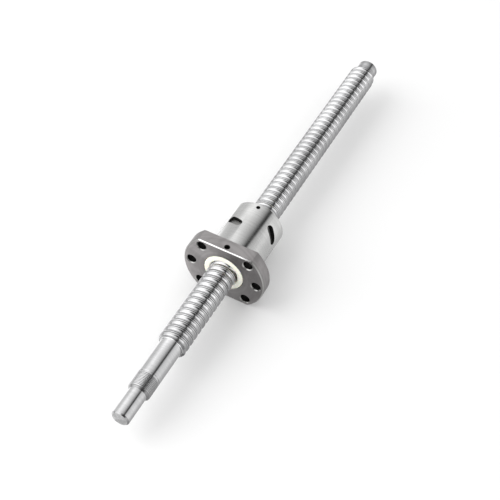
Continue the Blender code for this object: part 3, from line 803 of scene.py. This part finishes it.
hollow = lofted(
    "hollow",
    [
        ring(NUT_FRONT - OVERCUT, POCKET_RADIUS + OVERCUT, ROUND_STEPS),
        ring(NUT_FRONT + POCKET_EDGE, POCKET_RADIUS, ROUND_STEPS),
        ring(NUT_FRONT + FRONT_POCKET, POCKET_RADIUS, ROUND_STEPS),
        ring(NUT_FRONT + FRONT_POCKET, BORE_RADIUS, ROUND_STEPS),
        ring(NUT_REAR - REAR_POCKET, BORE_RADIUS, ROUND_STEPS),
        ring(NUT_REAR - REAR_POCKET, POCKET_RADIUS, ROUND_STEPS),
        ring(NUT_REAR - POCKET_EDGE, POCKET_RADIUS, ROUND_STEPS),
        ring(NUT_REAR + OVERCUT, POCKET_RADIUS + OVERCUT, ROUND_STEPS),
    ],
    bore_steel,
)
carved(nut, hollow)

mouth = BOLT_HOLE_RADIUS + BOLT_HOLE_CHAMFER
bolt_hole = [
    (-OVERCUT, mouth + OVERCUT), (0, mouth), (BOLT_HOLE_CHAMFER, BOLT_HOLE_RADIUS),
    (FLANGE_THICKNESS - BOLT_HOLE_CHAMFER, BOLT_HOLE_RADIUS), (FLANGE_THICKNESS, mouth),
    (FLANGE_THICKNESS + OVERCUT, mouth + OVERCUT),
]
for middle in (90, -90):
    for step in (-45, 0, 45):
        place = outward(NUT_FRONT, radians(middle + step), BOLT_CIRCLE_RADIUS) @ Matrix.Rotation(-pi / 2, 4, "Y")
        carved(nut, spun("hole", bolt_hole, place, hole_shade_steel))
for x, surface, bottom, radius, chamfer in (
    (LUBE_HOLE_X, FLANGE_HALF_WIDTH, BORE_RADIUS - INTO_BORE, LUBE_HOLE_RADIUS, LUBE_HOLE_CHAMFER),
    (SET_SCREW_X, NUT_RADIUS, POCKET_RADIUS - OVERCUT, SET_SCREW_HOLE_RADIUS, SET_SCREW_HOLE_CHAMFER),
):
    mouth = radius + chamfer
    profile = [(-OVERCUT, mouth + OVERCUT), (0, mouth), (chamfer, radius), (surface - bottom, radius)]
    carved(nut, spun("hole", profile, outward(x, 0, surface), hole_shade_steel))
for station in return_stations():
    window = lofted(
        "window",
        [
            slot_ring(RETURN_LENGTH, RETURN_WIDTH, height, window_place(station))
            for height in (BORE_RADIUS - RETURN_REACH, NUT_RADIUS + OVERCUT)
        ],
        hole_shade_steel,
    )
    carved(nut, window)

# The ball groove of the bore, swept like the screw's and open inwards
bore_groove = [
    (GROOVE_RADIUS * sin(radians(step)), BALL_CIRCLE_RADIUS + GROOVE_RADIUS * cos(radians(step)))
    for step in range(-80, 81, 16)
]
first_turn = floor((NUT_FRONT + FRONT_POCKET - GROOVE_AT_TOP) / LEAD)
last_turn = floor((NUT_REAR - REAR_POCKET - GROOVE_AT_TOP) / LEAD)
foot = BORE_RADIUS - INTO_BORE
start = GROOVE_AT_TOP + first_turn * LEAD
section = [(bore_groove[0][0], foot)] + bore_groove + [(bore_groove[-1][0], foot), (bore_groove[0][0], foot)]
groove = grown(
    "groove",
    profile_mesh("groove_profile", [(start + x, radius) for x, radius in section]),
    helix,
    {"Lead": LEAD, "Turns": last_turn - first_turn, "Steps": GROOVE_STEPS, "Finish": bore_steel},
)
shape = bmesh.new()
shape.from_mesh(groove.data)
bmesh.ops.holes_fill(shape, edges=[edge for edge in shape.edges if edge.is_boundary], sides=0)
bmesh.ops.recalc_face_normals(shape, faces=shape.faces)
shape.to_mesh(groove.data)
shape.free()
carved(nut, groove)

# Window edges are broken with a small bevel where they meet the barrel's skin, well clear of its own ends
SKIN = 0.00004
CLEAR_OF_FLANGE = 0.002
CLEAR_OF_REAR = 0.0015
EDGE_ANGLE = radians(50)
shape = bmesh.new()
shape.from_mesh(nut.data)
bmesh.ops.remove_doubles(shape, verts=shape.verts, dist=WELD)
weight = shape.edges.layers.float.new("bevel_weight_edge")
for edge in shape.edges:
    on_skin = all(abs(hypot(vert.co.y, vert.co.z) - NUT_RADIUS) < SKIN for vert in edge.verts)
    inside = all(behind_flange + CLEAR_OF_FLANGE < vert.co.x < NUT_REAR - CLEAR_OF_REAR for vert in edge.verts)
    if on_skin and inside and len(edge.link_faces) == 2 and edge.calc_face_angle(0) > EDGE_ANGLE:
        edge[weight] = 1.0
shape.to_mesh(nut.data)
shape.free()
bevel = nut.modifiers.new("broken_edges", "BEVEL")
bevel.limit_method = "WEIGHT"
bevel.width = WINDOW_BREAK
bevel.segments = 2
baked(nut)
# The flange's front chamfer gets bright steel on the upper flat, a painted highlight, and is plain turned steel
# elsewhere
nut.data.materials.append(highlight_edge_steel)
bright = len(nut.data.materials) - 1
plain = list(nut.data.materials).index(bore_steel)
for face in nut.data.polygons:
    depth = face.center.x - NUT_FRONT
    off_axis = hypot(face.center.y, face.center.z)
    if LEANING < -face.normal.x < SQUARE_ON and 0 < depth < FLANGE_FRONT_CHAMFER and off_axis > NUT_RADIUS:
        on_flat = abs(face.center.z) > FLANGE_HALF_WIDTH - FLANGE_FRONT_CHAMFER and face.normal.z > LEANING
        face.material_index = bright if on_flat else plain
finished(nut, "nut", "nut_steel", "nut_body", sharp=32)

# ---------------------------------------------------------------------------------------------------
# Wipers: rings of cream plastic that keep dirt out of the nut, pressed into a pocket at each end. A thin
# lip runs close to the screw, and a slit lets the front ring spring onto it.
WIPER_RADIUS = 0.01395
WIPER_BORE_RADIUS = 0.01005
FRONT_WIPER_THICKNESS = 0.0030
REAR_WIPER_THICKNESS = 0.0050
WIPER_EDGE = 0.0003
EDGE_MIDDLE = 0.3
WIPER_LIP = 0.00035
LIP_EDGE = 0.0001
SLIT_LENGTH = 0.006
SLIT_WIDTH = 0.0006
SLIT_DEPTH = 0.0022
SLIT_ANGLE = radians(197)

wiper_plastic = bpy.data.materials.new("wiper_plastic")
wiper_plastic.use_nodes = True
tree = wiper_plastic.node_tree
shader = tree.nodes["Principled BSDF"]
shader.inputs["Subsurface Weight"].default_value = 0.08
shader.inputs["Subsurface Scale"].default_value = 0.002
film = put(tree, "ShaderNodeGroup", {"Size": 0.009}, node_tree=patches).outputs
lines = put(tree, "ShaderNodeGroup", {"Spacing": 0.0003}, node_tree=marks).outputs
tone = ramp(tree, film["Mask"], [(0.0, (1.0, 0.99, 0.88)), (1.0, (0.96, 0.94, 0.78))])
tree.links.new(tone, shader.inputs["Base Color"])
tree.links.new(maths(tree, "MULTIPLY_ADD", lines["Tone"], 0.2, 0.36), shader.inputs["Roughness"])
height = maths(tree, "MULTIPLY_ADD", film["Grit"], 0.5, lines["Height"])
bump = put(tree, "ShaderNodeBump", {"Height": height, "Distance": 0.00001, "Strength": 0.5})
tree.links.new(bump.outputs[0], shader.inputs["Normal"])


def wiper(name, outer, inner):
    """A ring between its outer face, which has a bevelled lip, and its inner face."""
    inward = 1 if inner > outer else -1
    profile = [
        (outer + inward * WIPER_LIP, WIPER_BORE_RADIUS), (outer + inward * LIP_EDGE, WIPER_BORE_RADIUS + WIPER_LIP),
        (outer, WIPER_BORE_RADIUS + WIPER_LIP + LIP_EDGE), (outer, WIPER_RADIUS - WIPER_EDGE),
        (outer + inward * WIPER_EDGE * EDGE_MIDDLE, WIPER_RADIUS - WIPER_EDGE * EDGE_MIDDLE),
        (outer + inward * WIPER_EDGE, WIPER_RADIUS), (inner, WIPER_RADIUS), (inner, WIPER_BORE_RADIUS),
    ]
    return lofted(name, [ring(x, radius, ROUND_STEPS) for x, radius in profile], wiper_plastic, closed=True)


front_wiper = wiper("front_wiper", NUT_FRONT, NUT_FRONT + FRONT_WIPER_THICKNESS)
place = outward(NUT_FRONT + FRONT_WIPER_THICKNESS / 2, SLIT_ANGLE, WIPER_BORE_RADIUS)
outline = [(x * SLIT_LENGTH / 2, y * SLIT_WIDTH / 2) for x, y in ((-1, -1), (1, -1), (1, 1), (-1, 1))]
slit = lofted(
    "slit", [[place @ Vector((x, y, z)) for x, y in outline] for z in (-OVERCUT, SLIT_DEPTH)], wiper_plastic
)
carved(front_wiper, slit)
finished(front_wiper, "nut", "wiper_plastic", "front_wiper")
rear_wiper = wiper("rear_wiper", NUT_REAR, NUT_REAR - REAR_WIPER_THICKNESS)
finished(rear_wiper, "travel_ring", "wiper_plastic", "rear_wiper")

# ---------------------------------------------------------------------------------------------------
# Rear wiper screw: a headless M3 socket screw, blackened, turned in until its point holds the wiper.
SET_SCREW_RADIUS = 0.0011
SET_SCREW_POINT = 0.01435
SET_SCREW_TOP = 0.01655
SET_SCREW_CHAMFER = 0.0002
CONE_LENGTH = 0.0003
CONE_END = 0.6
SOCKET_RADIUS = 0.0006
SOCKET_DEPTH = 0.0011
black_steel = steel("black_steel", (0.07, 0.07, 0.072), (0.04, 0.04, 0.042), 0.38, 0.0002, 0.000005)
place = outward(SET_SCREW_X, 0, SET_SCREW_TOP)
point_depth = SET_SCREW_TOP - SET_SCREW_POINT
set_screw = spun(
    "rear_wiper_screw_dressed",
    [
        (point_depth, SET_SCREW_RADIUS * CONE_END), (point_depth - CONE_LENGTH, SET_SCREW_RADIUS),
        (SET_SCREW_CHAMFER, SET_SCREW_RADIUS), (0, SET_SCREW_RADIUS - SET_SCREW_CHAMFER),
    ],
    place,
    black_steel,
)
socket = spun(
    "socket", [(-OVERCUT, SOCKET_RADIUS), (SOCKET_DEPTH, SOCKET_RADIUS)], place, black_steel, steps=6
)
carved(set_screw, socket)
finished(set_screw, "nut", "dark_steel", "rear_wiper_screw")

# ---------------------------------------------------------------------------------------------------
# Return inserts: a plug of sintered steel in each window. An S-shaped channel in its foot lifts the balls
# over the screw's land and puts them back one turn before. They sit deep in the windows, with a low crown.
FIT = 0.0003
RETURN_TOP = 0.01560
RETURN_HALF_ANGLE = radians(27)
RETURN_LIFT = 0.0015
LIFT_EASE = 1.5
CHANNEL_STEPS = 32
# The crown of an insert, as (drop, inset) from its top outline
CROWN = ((0.0010, 0.0), (0.00035, 0.00004), (0.0001, 0.00022), (0.0, 0.0006))
insert_steel = steel(
    "insert_steel", (0.36, 0.36, 0.355), (0.25, 0.25, 0.245), 0.36, 0.00045, 0.000008, patch=0.006, grain=0.8
)


def circuit_point(turn, station):
    """The centre of a ball at a turn of its loop, counted from the return's middle."""
    x, angle = station
    turn = (turn + pi) % (2 * pi) - pi
    radius = BALL_CIRCLE_RADIUS
    if abs(turn) < RETURN_HALF_ANGLE:
        share = (turn + RETURN_HALF_ANGLE) / (2 * RETURN_HALF_ANGLE)
        before = LEAD / 2 - LEAD * RETURN_HALF_ANGLE / (2 * pi)
        along = before * (1 - 2 * share * share * (3 - 2 * share))
        radius += RETURN_LIFT * sin(pi * share) ** LIFT_EASE
    else:
        along = (LEAD / 2 if turn < 0 else -LEAD / 2) + LEAD * turn / (2 * pi)
    heading = angle + turn
    return Vector((x + along, -radius * sin(heading), radius * cos(heading)))


for number, station in enumerate(return_stations(), 1):
    x = station[0]
    place = window_place(station)
    length, width = RETURN_LENGTH - 2 * FIT, RETURN_WIDTH - 2 * FIT
    insert = lofted(
        f"return_insert_{number}_dressed",
        [slot_ring(length, width, BORE_RADIUS - RETURN_REACH, place)]
        + [slot_ring(length - 2 * inset, width - 2 * inset, RETURN_TOP - drop, place) for drop, inset in CROWN],
        insert_steel,
    )
    bore_ends = [ring(end, BORE_RADIUS, ROUND_STEPS) for end in (x - RETURN_LENGTH, x + RETURN_LENGTH)]
    carved(insert, lofted("bore", bore_ends, insert_steel))
    curve = bpy.data.curves.new("channel", "CURVE")
    curve.dimensions = "3D"
    curve.bevel_depth = GROOVE_RADIUS + FIT / 3
    curve.bevel_resolution = 4
    curve.use_fill_caps = True
    spline = curve.splines.new("POLY")
    spline.points.add(CHANNEL_STEPS)
    for step, point in enumerate(spline.points):
        point.co = (*circuit_point(RETURN_HALF_ANGLE * (4 * step / CHANNEL_STEPS - 2), station), 1)
    path = added("channel_path", curve)
    mesh = evaluated(path)
    bpy.data.objects.remove(path)
    shape = bmesh.new()
    shape.from_mesh(mesh)
    written(shape, mesh)
    mesh.materials.clear()
    mesh.materials.append(insert_steel)
    carved(insert, added("channel", mesh))
    finished(insert, "nut", "return_steel", f"return_insert_{number}")

# ---------------------------------------------------------------------------------------------------
# Balls: 3.175 mm bearing balls, ground and polished. Twenty fill each of the four loops, which run one
# turn along the groove and back through the return.
BALL_CONTACT = 0.00006
BALL_SPACING = 0.00008
PATH_STEPS = 720
ball_steel = steel("ball_steel", (0.80, 0.80, 0.81), (0.72, 0.72, 0.73), 0.09, 0.0006, 0.0000002, patch=0.002)

loop, given, result = tree_of(
    "ball_loop",
    "GeometryNodeTree",
    [
        ("Centres", "NodeSocketGeometry", None),
        ("Radius", "NodeSocketFloat", BALL_RADIUS),
        ("Segments", "NodeSocketInt", 24),
        ("Rings", "NodeSocketInt", 14),
        ("Finish", "NodeSocketMaterial", None),
    ],
    [("Balls", "NodeSocketGeometry")],
)
ball = put(
    loop, "GeometryNodeMeshUVSphere",
    {"Radius": given["Radius"], "Segments": given["Segments"], "Rings": given["Rings"]},
)
spots = put(loop, "GeometryNodeMeshToPoints", {"Mesh": given["Centres"]})
placed = put(loop, "GeometryNodeInstanceOnPoints", {"Points": spots.outputs[0], "Instance": ball.outputs["Mesh"]})
real = put(loop, "GeometryNodeRealizeInstances", {"Geometry": placed.outputs[0]})
coated = put(loop, "GeometryNodeSetMaterial", {"Geometry": real.outputs[0], "Material": given["Finish"]})
loop.links.new(coated.outputs[0], result.inputs["Balls"])

for number, station in enumerate(return_stations(), 1):
    path = [circuit_point(2 * pi * step / PATH_STEPS, station) for step in range(PATH_STEPS + 1)]
    lengths = [0.0]
    for first, second in zip(path, path[1:]):
        lengths.append(lengths[-1] + (second - first).length)
    pairs = floor(lengths[-1] / (4 * BALL_RADIUS - BALL_CONTACT + BALL_SPACING))
    pitch = lengths[-1] / pairs
    centres = []
    for pair in range(pairs):
        for side in (-1, 1):
            distance = (pair * pitch + side * (BALL_RADIUS - BALL_CONTACT / 2)) % lengths[-1]
            step = max(i for i, length in enumerate(lengths[:-1]) if length <= distance)
            share = (distance - lengths[step]) / (lengths[step + 1] - lengths[step])
            centres.append(path[step].lerp(path[step + 1], share))
    mesh = bpy.data.meshes.new("centres")
    mesh.from_pydata(centres, [], [])
    values = {"Radius": BALL_RADIUS - BALL_CONTACT / 2, "Finish": ball_steel}
    balls = grown(f"ball_loop_{number}", mesh, loop, values)
    nodes = [f"ball_pair_{number}_{pair + 1:02d}" for pair in range(pairs)]
    finished(balls, "nut", "ball_steel", *nodes, sharp=180)
